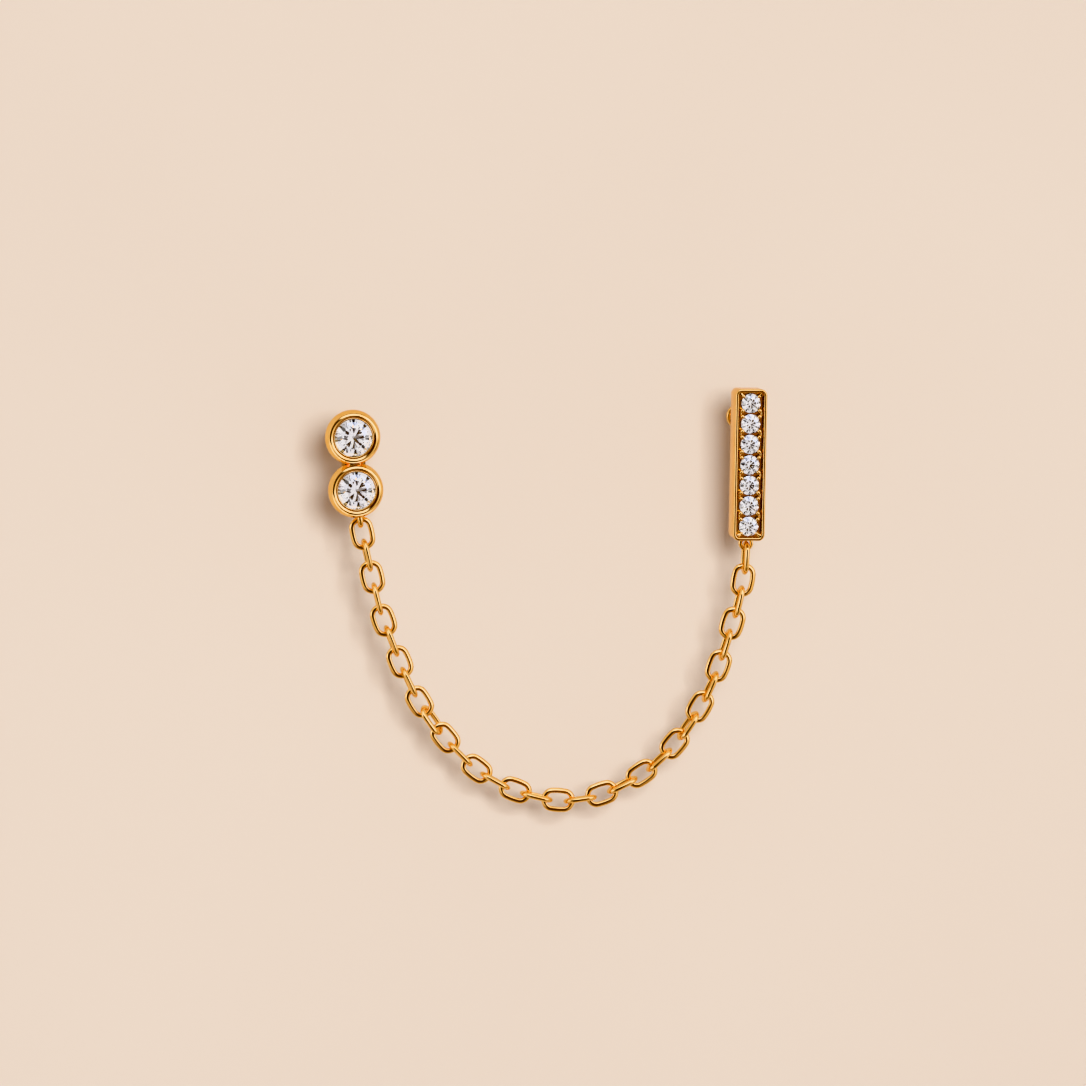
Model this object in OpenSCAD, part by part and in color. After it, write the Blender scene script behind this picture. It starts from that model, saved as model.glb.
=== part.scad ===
// Ear chain earring: a double bezel stud and a pave bar stud joined by one hanging cable chain.
// Millimetres. X runs from the double bezel stud to the bar stud, Z is up, and the fronts face -Y.
// The origin is where the lobe post leaves the back of the double bezel setting.

/* [Double bezel stud] */
// outside diameter of each bezel cup
cup_d = 4.0; // [3.8:0.1:4.6]
// diameter of the round stone in each cup
cup_stone_d = 3.0; // [2.6:0.1:3.2]
// width of the opening left by the lip over each stone
cup_opening_d = 2.76; // [2.4:0.02:2.9]
// radius of the rounded outer edge of the rim
cup_edge_r = 0.27; // [0.15:0.01:0.3]
// how far the two cups run into each other
cup_overlap = 0.26; // [0.1:0.02:0.5]
// width of the solder web in the waist between the cups
waist_w = 1.7; // [1.2:0.1:2.4]
// lean of the stud, its lower end towards the bar
stud_lean = 3.2; // [-10:0.1:10]
// the post leaves the upper cup this far below its centre
post_drop = 0.57; // [0.2:0.01:0.7]
// and this far to the left of its middle line
post_side = 0.24; // [0:0.01:0.4]
// turn of the chain loop round the lower cup, beyond the lean
loop_turn = 6; // [-10:0.5:15]

/* [Bar stud] */
// diameter of the small stones
bar_stone_d = 1.4; // [1.2:0.05:1.6]
// space between two neighbouring stones
bar_stone_space = 0.06; // [0.05:0.002:0.2]
// floor showing on each side of the stones
bar_side_floor = 0.21; // [0.15:0.01:0.4]
// width of the raised rim
bar_rim = 0.22; // [0.16:0.01:0.3]
// radius of the corners seen from the front
bar_corner_r = 0.42; // [0.3:0.01:0.6]
// depth of the channel below the rim
channel_depth = 0.56; // [0.5:0.01:0.8]
// lean of the bar, its lower end towards the double bezel stud
bar_lean = 1.0; // [-8:0.1:8]
// the bar's post stands this far to the right of its middle line
bar_post_side = 0.33; // [0:0.01:0.5]
// height of the bar's post above the lobe post
bar_rise = 1.21; // [-3:0.005:5]

/* [Both studs] */
// depth of both settings, front to back
setting_depth = 2.2; // [2:0.05:2.8]
// distance between the two posts across the ear
posts_apart = 28.94; // [20:0.1:40]
// diameter of each ear post
post_d = 0.8; // [0.6:0.05:1]
// room for the ear between a setting and its back
ear_gap = 4.4; // [4.3:0.1:8]
// diameter of each round back
back_d = 1.86; // [1.7:0.02:3]
// thickness of the back's disc
back_t = 0.5; // [0.4:0.05:0.8]

/* [Chain] */
// wire of the links and of the double bezel's chain loop
wire_d = 0.38; // [0.3:0.01:0.42]
// wire of the bar's chain loop
bar_loop_wire_d = 0.26; // [0.24:0.01:0.4]
// length of a link over its outside
link_l = 2.44; // [2.2:0.02:3]
// width of a link over its outside
link_w = 1.74; // [1.5:0.02:2]
// how far the chain hangs below the line between its two loops
chain_drop = 18.8; // [14:0.1:22]
// distance of the chain's plane from the back of the settings
chain_plane = 0.9; // [0.8:0.05:1.1]

/* [Clearances] */
// least clearance between linked wires
link_gap = 0.08; // [0.05:0.01:0.12]
// clearance between a linked wire and the setting above it
bail_gap = 0.1; // [0.06:0.01:0.15]
// clearance of the wire from the sides of a chain loop
loop_side_gap = 0.08; // [0.06:0.01:0.2]
// clearance all round a stone in its seat
stone_gap = 0.05; // [0.02:0.01:0.06]
// clearance of a post in the bore of its back
bore_gap = 0.05; // [0.02:0.01:0.1]

/* [Hidden] */
bar_stones = 7;
post_stone = 2;

// Cut of the round brilliants, as shares of the stone's diameter.
table_share = 0.5;
crown_share = 0.15;
girdle_share = 0.03;
pavilion_share = 0.43;
star_reach = 0.5;
lower_reach = 0.77;

// Double bezel stud: z is the height in front of the setting's back.
cup_r = cup_d / 2;
cup_spacing = cup_d - cup_overlap;
crest_r = cup_r - cup_edge_r;
widest_z = setting_depth - cup_edge_r;
back_flat_r = norm([post_side, post_drop]) + post_d / 2 + 0.03;
bowl_r = (pow(cup_r - back_flat_r, 2) + pow(widest_z, 2)) / (2 * (cup_r - back_flat_r));
cup_girdle_z = setting_depth - crown_share * cup_stone_d;
lip_t = 0.06;
upper_cup_y = post_drop;
lower_cup_y = post_drop - cup_spacing;

// Bar stud.
bar_pitch = bar_stone_d + bar_stone_space;
bar_end_floor = 0.09;
bar_w = bar_stone_d + 2 * (bar_side_floor + bar_rim);
bar_h = (bar_stones - 1) * bar_pitch + bar_stone_d + 2 * (bar_end_floor + bar_rim);
bar_centre_y = -((bar_stones + 1) / 2 - post_stone) * bar_pitch;
bar_bottom_y = bar_centre_y - bar_h / 2;
floor_z = setting_depth - channel_depth;
bar_stone_sink = 0.05;
bar_girdle_z = setting_depth - bar_stone_sink - crown_share * bar_stone_d;
rim_bevel = 0.06;
prong_r = 0.17;
prong_bead_r = 0.2;
prong_reach = bar_stone_d / 2 + prong_r + stone_gap + 0.01;
prong_x = sqrt(pow(prong_reach, 2) - pow(bar_pitch / 2, 2));
bead_overhang = prong_reach - bar_stone_d / 2;
bead_rise = sqrt(max(0, pow(prong_bead_r + stone_gap, 2) - pow(bead_overhang, 2))) + 0.01;

// Posts and backs.
bore_r = post_d / 2 + bore_gap;
hub_r = bore_r + 0.12;
hub_l = 1.0;
dish_r = back_d / 2 - 0.18;
dish_t = 0.18;
post_end = 0.5;
post_l = ear_gap + back_t + hub_l + post_end;
post_root = 0.3;

// Chain loops: hold is the distance between two linked wires, centre to centre.
wire_r = wire_d / 2;
bar_loop_wire_r = bar_loop_wire_d / 2;
hold = wire_d + link_gap;
bar_hold = wire_r + bar_loop_wire_r + link_gap;
loop_r = wire_d + loop_side_gap;
bar_loop_r = wire_r + bar_loop_wire_r + loop_side_gap;
bezel_loop_reach = cup_wall(chain_plane + wire_r) + bail_gap + wire_r + hold;
bar_loop_drop = bail_gap + wire_r + bar_hold;

// Where each loop carries its end link, in X and Z.
loop_angle = stud_lean + loop_turn;
lower_cup_at = post_side * [cos(stud_lean), sin(stud_lean)]
    + lower_cup_y * [-sin(stud_lean), cos(stud_lean)];
left_hook = lower_cup_at + bezel_loop_reach * [sin(loop_angle), -cos(loop_angle)];
bar_hook_y = bar_bottom_y - bar_loop_drop;
right_hook = [posts_apart, bar_rise] - bar_post_side * [cos(bar_lean), -sin(bar_lean)]
    + bar_hook_y * [sin(bar_lean), cos(bar_lean)];

// Route of the hanging chain from loop to loop: share of the way across, share of the chain's drop.
CHAIN_ROUTE = [
    [0.031, 0.200], [0.062, 0.364], [0.163, 0.679], [0.329, 0.923], [0.548, 0.994],
    [0.752, 0.852], [0.889, 0.589], [0.970, 0.263], [0.996, 0.092]
];

// Links turned a little about their own length, as they hang: link number and degrees.
LINK_TURNS = [[4, 5], [7, -6], [10, 28], [15, 5], [18, -6], [21, 5], [24, 7], [29, -5]];

route_steps = 12;
route_knots = concat(
    [left_hook],
    [for (share = CHAIN_ROUTE)
        left_hook + share[0] * (right_hook - left_hook) - [0, share[1] * chain_drop]],
    [right_hook]
);
route_n = len(route_knots);
route = concat(
    [for (i = [0 : route_n - 2], j = [0 : route_steps - 1]) knot_curve(i, j / route_steps)],
    [right_hook]
);
route_s = running_lengths(route);
route_l = route_s[len(route_s) - 1];

link_core_l = link_l - wire_d;
link_core_r = (link_w - wire_d) / 2;
link_straight = link_core_l - 2 * link_core_r;
first_link_s = link_core_l / 2 - hold;
last_link_s = link_core_l / 2 - bar_hold;
links_run = route_l - first_link_s - last_link_s;
widest_pitch = link_core_l - hold;
// An even count, since the two loops are turned a quarter turn from each other.
links = 2 * ceil((links_run / widest_pitch + 1) / 2);
link_pitch = links_run / (links - 1);

function two_digits(i) = str(i < 10 ? "0" : "", i);
function bar_stone_name(i) = str("bar_stone_", i);
function link_name(i) = str("chain_link_", two_digits(i));

// Radius of a cup's bowl at a height in front of its back.
function cup_wall(z) = cup_r - bowl_r + sqrt(pow(bowl_r, 2) - pow(widest_z - min(z, widest_z), 2));

// Smooth curve through the route's knots, on the stretch after knot i.
function knot(i) = i < 0 ? 2 * route_knots[0] - route_knots[1]
    : i >= route_n ? 2 * route_knots[route_n - 1] - route_knots[route_n - 2]
    : route_knots[i];
function knot_tangent(i) = (knot(i + 1) - knot(i - 1))
    / (norm(knot(i + 1) - knot(i)) + norm(knot(i) - knot(i - 1)));
function knot_curve(i, t) = let (length = norm(knot(i + 1) - knot(i)))
    (2 * pow(t, 3) - 3 * pow(t, 2) + 1) * knot(i)
    + (pow(t, 3) - 2 * pow(t, 2) + t) * length * knot_tangent(i)
    + (3 * pow(t, 2) - 2 * pow(t, 3)) * knot(i + 1)
    + (pow(t, 3) - pow(t, 2)) * length * knot_tangent(i + 1);
function running_lengths(line, i = 0, sum = 0) = i == len(line) ? []
    : let (here = sum + (i == 0 ? 0 : norm(line[i] - line[i - 1])))
        concat([here], running_lengths(line, i + 1, here));
function route_at(s) = let (
        want = max(0, min(route_l, s)),
        after = min([for (i = [1 : len(route) - 1]) if (route_s[i] >= want) i]),
        before = after - 1,
        share = (want - route_s[before]) / (route_s[after] - route_s[before])
    ) route[before] + share * (route[after] - route[before]);

// Centre, angle and turn of link i.
function link_s(i) = first_link_s + (i - 1) * link_pitch;
function link_at(i) = route_at(link_s(i));
function link_run(i) = route_at(link_s(i) + link_pitch / 2) - route_at(link_s(i) - link_pitch / 2);
function link_angle(i) = atan2(link_run(i)[1], link_run(i)[0]);
function extra_turn(i) = let (found = [for (row = LINK_TURNS) if (row[0] == i) row[1]])
    len(found) > 0 ? found[0] : 0;
function link_turn(i) = (i % 2 == 1 ? 0 : 90) + extra_turn(i);

// Local frames of the two studs: x right, y up, z towards the viewer, z = 0 at the setting's back.
module stud_frame() {
    rotate([90, 0, 0])
        rotate([0, 0, stud_lean])
            translate([post_side, 0, 0])
                children();
}

module bar_frame() {
    translate([posts_apart, 0, bar_rise])
        rotate([90, 0, 0])
            rotate([0, 0, -bar_lean])
                translate([-bar_post_side, 0, 0])
                    children();
}

// Round brilliant with its girdle's upper edge at z = 0 and its table facing +z.
module brilliant(d) {
    r = d / 2;
    table_r = table_share * r;
    table_z = crown_share * d;
    low_z = -girdle_share * d;
    culet_z = low_z - pavilion_share * d;
    crown_slope = table_z / (r - table_r);
    pavilion_slope = (low_z - culet_z) / r;
    half = 22.5;
    star_r = table_r * cos(half) + star_reach * (r - table_r * cos(half));
    star_z = crown_slope * (r - star_r * cos(half));
    lower_r = r * (1 - lower_reach);
    lower_z = culet_z + pavilion_slope * lower_r * cos(half);
    points = concat(
        [for (i = [0 : 7]) ring_point(table_r, 45 * i, table_z)],
        [for (i = [0 : 7]) ring_point(star_r, 45 * i + half, star_z)],
        [for (i = [0 : 15]) ring_point(r, half * i, 0)],
        [for (i = [0 : 15]) ring_point(r, half * i, low_z)],
        [for (i = [0 : 7]) ring_point(lower_r, 45 * i + half, lower_z)],
        [[0, 0, culet_z]]
    );
    star = 8;
    upper = 16;
    under = 32;
    lower = 48;
    culet = 56;
    faces = concat(
        [[for (i = [7 : -1 : 0]) i]],
        [for (i = [0 : 7]) [i, (i + 1) % 8, star + i]],
        [for (i = [0 : 7]) [i, star + i, upper + 2 * i, star + (i + 7) % 8]],
        [for (i = [0 : 7]) [star + i, upper + 2 * i + 1, upper + 2 * i]],
        [for (i = [0 : 7]) [star + i, upper + (2 * i + 2) % 16, upper + 2 * i + 1]],
        [for (i = [0 : 15]) [upper + i, upper + (i + 1) % 16, under + (i + 1) % 16, under + i]],
        [for (i = [0 : 7]) [under + 2 * i, under + 2 * i + 1, lower + i]],
        [for (i = [0 : 7]) [under + 2 * i + 1, under + (2 * i + 2) % 16, lower + i]],
        [for (i = [0 : 7]) [under + 2 * i, lower + i, culet, lower + (i + 7) % 8]]
    );
    polyhedron(points, faces);
}

function ring_point(r, angle, z) = [r * cos(angle), r * sin(angle), z];

// Space cut for a stone, with its clearance: the seat below the girdle and the way in above it.
module stone_seat(d, open_r) {
    r = d / 2;
    low_z = -girdle_share * d;
    culet_z = low_z - pavilion_share * d;
    slope = (low_z - culet_z) / r;
    below = stone_gap * sqrt(1 + slope * slope);
    crown_slope = crown_share * d / (r - table_share * r);
    above = stone_gap * sqrt(1 + crown_slope * crown_slope);
    seat_r = r + stone_gap;
    lip_z = above + crown_slope * (r - open_r);
    rotate_extrude($fn = 64)
        polygon([
            [0, culet_z - below],
            [seat_r, low_z + slope * stone_gap - below],
            [seat_r, above],
            [open_r, max(lip_z, above)],
            [open_r, d],
            [0, d]
        ]);
}

// One cup seen in section: bowl, widest ring, rounded edge and crest.
module cup_section() {
    intersection() {
        translate([cup_r - bowl_r, widest_z])
            circle(bowl_r, $fn = 180);
        square([cup_r + 1, widest_z]);
    }
    translate([0, widest_z - 0.01])
        square([crest_r, cup_edge_r + 0.01]);
    intersection() {
        translate([crest_r, widest_z])
            circle(cup_edge_r, $fn = 64);
        translate([crest_r - 0.01, widest_z])
            square([cup_edge_r + 0.01, cup_edge_r]);
    }
}

module cup_body() {
    rotate_extrude($fn = 96)
        cup_section();
}

// The lip slopes from the crest down to the opening round the stone.
module lip_bevel() {
    crown_slope = crown_share * cup_stone_d / (cup_stone_d / 2 * (1 - table_share));
    lip_z = cup_girdle_z + crown_slope * (cup_stone_d - cup_opening_d) / 2
        + stone_gap * sqrt(1 + crown_slope * crown_slope) + lip_t;
    rotate_extrude($fn = 96)
        polygon([
            [0, lip_z],
            [cup_opening_d / 2, lip_z],
            [crest_r, setting_depth],
            [crest_r, setting_depth + 1],
            [0, setting_depth + 1]
        ]);
}

module loop_ring(ring_r, ring_wire_r) {
    rotate_extrude($fn = 48)
        translate([ring_r, 0])
            circle(ring_wire_r, $fn = 32);
}

// Post from inside the setting's back to a narrowed tip.
module ear_post() {
    translate([0, 0, -post_l])
        rotate_extrude($fn = 48)
            polygon([
                [0, 0],
                [post_d / 2 - 0.15, 0],
                [post_d / 2, 0.25],
                [post_d / 2, post_l + post_root],
                [0, post_l + post_root]
            ]);
}

module double_bezel_setting() {
    color("Goldenrod")
        stud_frame()
            difference() {
                union() {
                    for (y = [upper_cup_y, lower_cup_y])
                        translate([0, y, 0])
                            cup_body();
                    translate([-waist_w / 2, (upper_cup_y + lower_cup_y) / 2 - 0.7, 0.5])
                        cube([waist_w, 1.4, setting_depth - cup_edge_r - 0.5]);
                    translate([0, lower_cup_y, 0])
                        rotate([0, 0, loop_turn])
                            translate([0, loop_r - bezel_loop_reach, chain_plane])
                                rotate([0, 90, 0])
                                    loop_ring(loop_r, wire_r);
                    translate([-post_side, 0, 0])
                        ear_post();
                }
                for (y = [upper_cup_y, lower_cup_y])
                    translate([0, y, 0]) {
                        translate([0, 0, cup_girdle_z])
                            stone_seat(cup_stone_d, cup_opening_d / 2);
                        lip_bevel();
                    }
            }
}

module bezel_stone(y) {
    color([0.93, 0.95, 1, 0.6])
        stud_frame()
            translate([0, y, cup_girdle_z])
                brilliant(cup_stone_d);
}

// Wall of the bar in section: x from the outside inwards, y the height.
module rim_section() {
    polygon([
        [0, 0],
        [bar_rim, 0],
        [bar_rim, setting_depth - rim_bevel],
        [bar_rim - rim_bevel, setting_depth],
        [rim_bevel, setting_depth],
        [0, setting_depth - rim_bevel]
    ]);
}

module bar_wall(length) {
    rotate([90, 0, 0])
        translate([0, 0, -length / 2])
            linear_extrude(length)
                rim_section();
}

module bar_corner() {
    rotate_extrude(angle = 90, $fn = 64)
        translate([bar_corner_r, 0])
            mirror([1, 0])
                rim_section();
}

module bar_frame_walls() {
    for (side = [0, 180])
        rotate([0, 0, side]) {
            translate([-bar_w / 2, 0, 0])
                bar_wall(bar_h - 2 * bar_corner_r);
            rotate([0, 0, 90])
                translate([-bar_h / 2, 0, 0])
                    bar_wall(bar_w - 2 * bar_corner_r);
            translate([bar_w / 2 - bar_corner_r, bar_h / 2 - bar_corner_r, 0])
                bar_corner();
            translate([bar_corner_r - bar_w / 2, bar_h / 2 - bar_corner_r, 0])
                rotate([0, 0, 90])
                    bar_corner();
        }
}

module prong() {
    translate([0, 0, floor_z - 0.1])
        cylinder(r = prong_r, h = bar_girdle_z + bead_rise - floor_z + 0.1, $fn = 24);
    translate([0, 0, bar_girdle_z + bead_rise])
        sphere(prong_bead_r, $fn = 24);
}

function bar_stone_y(i) = ((bar_stones + 1) / 2 - i) * bar_pitch;

module bar_setting() {
    color("Goldenrod")
        bar_frame() {
            difference() {
                translate([0, bar_centre_y, 0]) {
                    bar_frame_walls();
                    translate([(bar_rim - bar_w) / 2, (bar_rim - bar_h) / 2, 0])
                        cube([bar_w - bar_rim, bar_h - bar_rim, floor_z]);
                    for (i = [0 : bar_stones], side = [-1, 1])
                        translate([side * prong_x, bar_stone_y(i + 0.5), 0])
                            prong();
                }
                for (i = [1 : bar_stones])
                    translate([0, bar_centre_y + bar_stone_y(i), bar_girdle_z])
                        stone_seat(bar_stone_d, table_share * bar_stone_d / 2);
            }
            translate([0, bar_bottom_y - bar_loop_drop + bar_loop_r, chain_plane])
                loop_ring(bar_loop_r, bar_loop_wire_r);
            translate([bar_post_side, 0, 0])
                ear_post();
        }
}

module bar_stone(i) {
    color([0.93, 0.95, 1, 0.6])
        bar_frame()
            translate([0, bar_centre_y + bar_stone_y(i), bar_girdle_z])
                rotate([0, 0, 9 * i])
                    brilliant(bar_stone_d);
}

// A link lying in the local x-y plane, its length along x.
module link_end() {
    translate([link_straight / 2, 0, 0])
        rotate([0, 0, -90])
            rotate_extrude(angle = 180, $fn = 48)
                translate([link_core_r, 0])
                    circle(wire_r, $fn = 32);
}

module link_side() {
    translate([-link_straight / 2, link_core_r, 0])
        rotate([0, 90, 0])
            cylinder(r = wire_r, h = link_straight, $fn = 32);
}

module chain_link(i) {
    at = link_at(i);
    color("Gold")
        translate([at[0], -chain_plane, at[1]])
            rotate([0, -link_angle(i), 0])
                rotate([90 + link_turn(i), 0, 0])
                    for (half = [0, 180])
                        rotate([0, 0, half]) {
                            link_end();
                            link_side();
                        }
}

// Round push-on back: a dished disc with a hub behind it.
module round_back() {
    r = back_d / 2;
    edge = 0.06;
    translate([0, 0, -ear_gap])
        rotate_extrude($fn = 64)
            polygon([
                [bore_r, -dish_t],
                [dish_r, -dish_t],
                [dish_r + edge, 0],
                [r - edge, 0],
                [r, -edge],
                [r, edge - back_t],
                [r - edge, -back_t],
                [hub_r, -back_t],
                [hub_r, -back_t - hub_l],
                [bore_r, -back_t - hub_l]
            ]);
}

module lobe_back() {
    color("DarkGoldenrod")
        stud_frame()
            translate([-post_side, 0, 0])
                round_back();
}

module bar_back() {
    color("DarkGoldenrod")
        bar_frame()
            translate([bar_post_side, 0, 0])
                round_back();
}

double_bezel_setting();
bezel_stone(upper_cup_y);  // upper_bezel_stone
bezel_stone(lower_cup_y);  // lower_bezel_stone
bar_setting();
for (i = [1 : bar_stones])
    bar_stone(i);
for (i = [1 : links])
    chain_link(i);
lobe_back();
bar_back();
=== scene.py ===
"""Ear chain earring: a double bezel stud and a small-stone bar stud joined by a hanging cable chain."""

import math

import bmesh
import bpy
import numpy as np
from mathutils import Matrix, Vector


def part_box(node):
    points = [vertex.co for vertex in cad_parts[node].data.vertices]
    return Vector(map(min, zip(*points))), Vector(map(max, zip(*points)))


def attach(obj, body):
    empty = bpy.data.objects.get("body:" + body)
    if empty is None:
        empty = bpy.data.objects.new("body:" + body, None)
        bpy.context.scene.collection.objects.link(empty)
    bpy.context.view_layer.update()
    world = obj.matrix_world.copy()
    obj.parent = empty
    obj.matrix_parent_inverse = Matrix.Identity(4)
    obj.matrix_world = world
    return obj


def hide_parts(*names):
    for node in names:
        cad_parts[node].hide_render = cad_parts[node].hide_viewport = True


MM = 0.001

# Double bezel cups, in millimetres: z is the height in front of the setting's back.
SETTING_DEPTH = 2.2
CUP_R = 2.0
CUP_WIDEST_DROP = 0.27
CUP_BACK_R = 1.0485
CUP_BACK_CENTRE_R = 0.3
SHOULDER_Z = 1.5
SHOULDER_BOW = 15
CREST_R = 1.60
CREST_HALF_W = 0.11
CREST_SLOPE = 27
CREST_TOP_R = 0.03
CREST_GROOVE_W = 0.045
CREST_GROOVE_RISE = 0.6
CUP_OPENING_R = 1.33
INNER_LIP_R = 0.055
LIP_GROOVE_DEPTH = 0.13
LIP_GROOVE_TAPER = (0.015, 0.01)

# The seat of a cup's stone: its wall stands clear of the girdle, and its floor slopes to the cup's middle.
CUP_STONE_R = 1.5
CUP_SEAT_TOP_Z = 1.91
CUP_SEAT_CLEARANCE = 0.045
CUP_SEAT_SLOPE_H = 0.10
CUP_SEAT_H = 0.28
CUP_FLOOR = (0.02, 0.3)

# Solder web between the cups, with a ridge across its front.
WAIST_W = 1.66
WEB_BACK_Z = 0.5
WEB_TOP_Z = 1.62
WEB_HALF_L = 0.75
WEB_FLARE = 0.45
WEB_ROWS = 16
WEB_ROUND = 0.3
RIDGE_R = 0.12
RIDGE_SHARE = 0.5
RIDGE_Z = 1.90
RIDGE_ROUND = 0.08

# Bar setting: the box, its rim and its channel.
BAR_SIDE_FLOOR = 0.21
BAR_END_FLOOR = 0.09
BAR_RIM = 0.22
BAR_RIM_ROUND = 0.1
BAR_CORNER_R = 0.45
BAR_BACK_R = 0.12
CHANNEL_DEPTH = 0.56
CHANNEL_FLOOR_Z = SETTING_DEPTH - CHANNEL_DEPTH
BAR_STONE_R = 0.7
BAR_GIRDLE_Z = 1.94

# The drilled seat of a bar stone: two points at its tip, and its mouth at the channel's floor.
SEAT_TIP = [(0.05, 1.0), (0.12, 1.12)]
SEAT_MOUTH_R = 0.64
SEAT_MOUTH_DROP = 0.04
SEAT_CUT_R = 0.70
SEAT_CUT_RISE = 0.2

# Claws of the bar: feet and heads are (x from the middle line, y from the point between two stones).
CLAW_FOOT_Z = CHANNEL_FLOOR_Z - 0.1
CLAW_HEAD_Z = BAR_GIRDLE_Z + 0.13
SPLIT_FOOT = (0.70, 0.12)
SPLIT_HEAD = (0.62, 0.21)
SPLIT_FOOT_R, SPLIT_HEAD_R = 0.14, 0.155
BRIDGE_TOP_Z = BAR_GIRDLE_Z + 0.14
BRIDGE_OUT = 0.03
BRIDGE_W, BRIDGE_L = 0.15, 0.46
BRIDGE_ROUND = 0.07

# The four corner claws: (x from the middle line, y from the end stone's centre).
CORNER_FOOT = (0.74, 0.62)
CORNER_HEAD = (0.56, 0.50)
CORNER_FOOT_R, CORNER_HEAD_R = 0.12, 0.125
CORNER_ROOT = (0.76, 0.65)
CORNER_ROOT_DROP = 0.05
CORNER_ROOT_R, CORNER_TIP_R = 0.17, 0.11

# Posts: the collar's section is (radius, distance behind the setting).
POST_R = 0.4
POST_L = 6.4
POST_ROOT = 0.3
POST_COLLAR = [
    (0.62, -POST_ROOT),
    (0.62, 0.0),
    (0.60, 0.06),
    (0.48, 0.13),
    (POST_R + 0.02, 0.2),
    (POST_R, 0.3),
]
POST_TIP_R = 0.16
POST_END_R = 0.05

# Push-on backs.
BACK_R = 0.93
BACK_T = 0.5
BACK_EDGE_R = 0.12
BACK_DISH_RIM = 0.3
BACK_DISH_DEPTH = 0.2
BACK_DISH_ROUND = 0.10
BACK_BORE_R = 0.45
BACK_HUB_R = 0.58
BACK_HUB_L = 1.0
BACK_HUB_ROUND = 0.08
BACK_HUB_FILLET = [(0.66, 0.0), (0.60, 0.06)]

# Chain loops and links.
WIRE_R = 0.19
WIRE_SIDES = 20
LOOP_R = 0.46
LOOP_REACH = 2.6004
LOOP_TURN = 6.0
LOOP_STEPS = 56
BAR_LOOP_R = 0.40
BAR_LOOP_WIRE_R = 0.13
BAR_LOOP_DROP = 0.69
CHAIN_PLANE = 0.9
LINK_L = 2.44
LINK_W = 1.74
LINK_CORNER_R = 0.585
LINK_CORNER_AT = (0.42, 0.07)
LINK_CORNER_STEPS = 7
LINK_SIDE_STEPS = 6
LINK_LEAN = 0.25

# In edit mode: closer points lie level or merge, and an edge turned further (radians) is hard.
NEAR = 1e-4
MERGE = 1e-5
HARD_EDGE = 1.0

# Metal, stone and paper. The polish runs in slow waves (per metre) with fine hairlines between them.
ROOT = "root"
GOLD_DEEP = (0.90, 0.55, 0.18)
GOLD_LIGHT = (0.94, 0.61, 0.23)
GOLD_EDGE = (0.94, 0.78, 0.58)
GOLD_ROUGH = (0.02, 0.05)
GOLD_WAVE_HEIGHT = 0.0000005
# Painted shade: the solder web's block between the cups takes this dark brown in place of the gold,
# standing in for the shade that falls there.
WAIST_SHADE_COLOUR = (0.30, 0.14, 0.035)
RECESS_ROUGH = 0.12
WAVE_SCALE = 900.0
HAIRLINE_SCALE = 5000.0
STONE_LILAC = (0.97, 0.95, 1.0)
STONE_CLEAR = (1.0, 1.0, 1.0)
STONE_IOR = 2.2
STONE_ROUGH = (0.0, 0.015)
PAPER_DEEP = (0.770, 0.697, 0.642)
PAPER_LIGHT = (0.800, 0.729, 0.674)
PAPER_CLOUD_SCALE = 25.0
PAPER_GRAIN_SCALE = 2500.0
PAPER_GRAIN_HEIGHT = 0.00003

# Photograph's view: the picture is 1086 pixels square and one pixel is 0.0707 mm at the object.
PICTURE = 1086
PIXEL = 0.0707 * MM
VIEW_AIM = Vector((0.01367, -0.0022, -0.00702))
VIEW_TURN = -8.7
VIEW_RISE = 5.5
CAMERA_DISTANCE = 0.6
SENSOR = 36.0

# Stage, in metres: a backdrop that leans back, and a floor well below the chain.
STAGE_SIZE = 1.6
BACKDROP_AT = (0.0135, 0.0072, 0.002)
BACKDROP_LEAN = math.radians(7)
FLOOR_AT = (0.0, -0.4, -0.075)

# Soft boxes: azimuth and elevation, distance, size in metres, watts, colour, and the rays that see them.
STUDIO_CENTRE = Vector((0.0135, 0, -0.008))
SOFT_BOXES = (
    ("shadow_key", (1, 11.5), 0.8, (0.22, 0.22), 5.0, (0.975, 1.0, 0.972), ("diffuse",)),
    ("high_right_box", (40, 40), 0.6, (0.24, 0.18), 0.28, (1.0, 0.98, 0.94), ("glossy", "transmission")),
    ("left_box", (-62, 10), 0.6, (0.06, 0.20), 0.09, (1.0, 0.97, 0.92), ("glossy", "transmission")),
)

# The tent round the object: what matt surfaces take from it, and what gold and stones mirror.
AMBIENT = (0.298, 0.187, 0.121)
BEYOND_BACKDROP = (0.80, 0.66, 0.56)
GOLD_TENT = (0.66, 0.53, 0.42)
REAR_TENT = (0.86, 0.75, 0.66)
FRONT_TENT = (1.2, 1.08, 0.98)
LOW_TENT = (0.26, 0.14, 0.06)
BRIGHT_PANEL = (2.3, 2.6, 3.6)
CAMERA_CARD = (0.25, 0.095, 0.02)
DARK_CARD = (0.03, 0.006, 0.0005)
STONE_TENT = (1.10, 1.085, 1.09)
STONE_GREY = (0.25, 0.24, 0.27)
STONE_CARD = (0.008, 0.008, 0.009)

# Patches of the tent, each over the ones before it: azimuth and elevation, inner and outer angle, colour.
GOLD_PATCHES = (
    ((180, 0), (25, 60), REAR_TENT),
    ((0, 10), (60, 88), FRONT_TENT),
    ((0, -90), (25, 78), LOW_TENT),
    ((48, 14), (14, 28), BRIGHT_PANEL),
    ((-5, 52), (12, 28), BRIGHT_PANEL),
    ((-78, 6), (8, 20), BRIGHT_PANEL),
    ((2, -3), (28, 36), CAMERA_CARD),
    ((-24, 7), (26, 34), DARK_CARD),
    ((2, -36), (17, 24), DARK_CARD),
)
STONE_PATCHES = (
    ((-40, -25), (14, 30), STONE_GREY),
    ((65, -20), (10, 22), STONE_GREY),
    ((10, 62), (8, 20), STONE_GREY),
    ((VIEW_TURN, VIEW_RISE), (9, 15), STONE_CARD),
)


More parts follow.
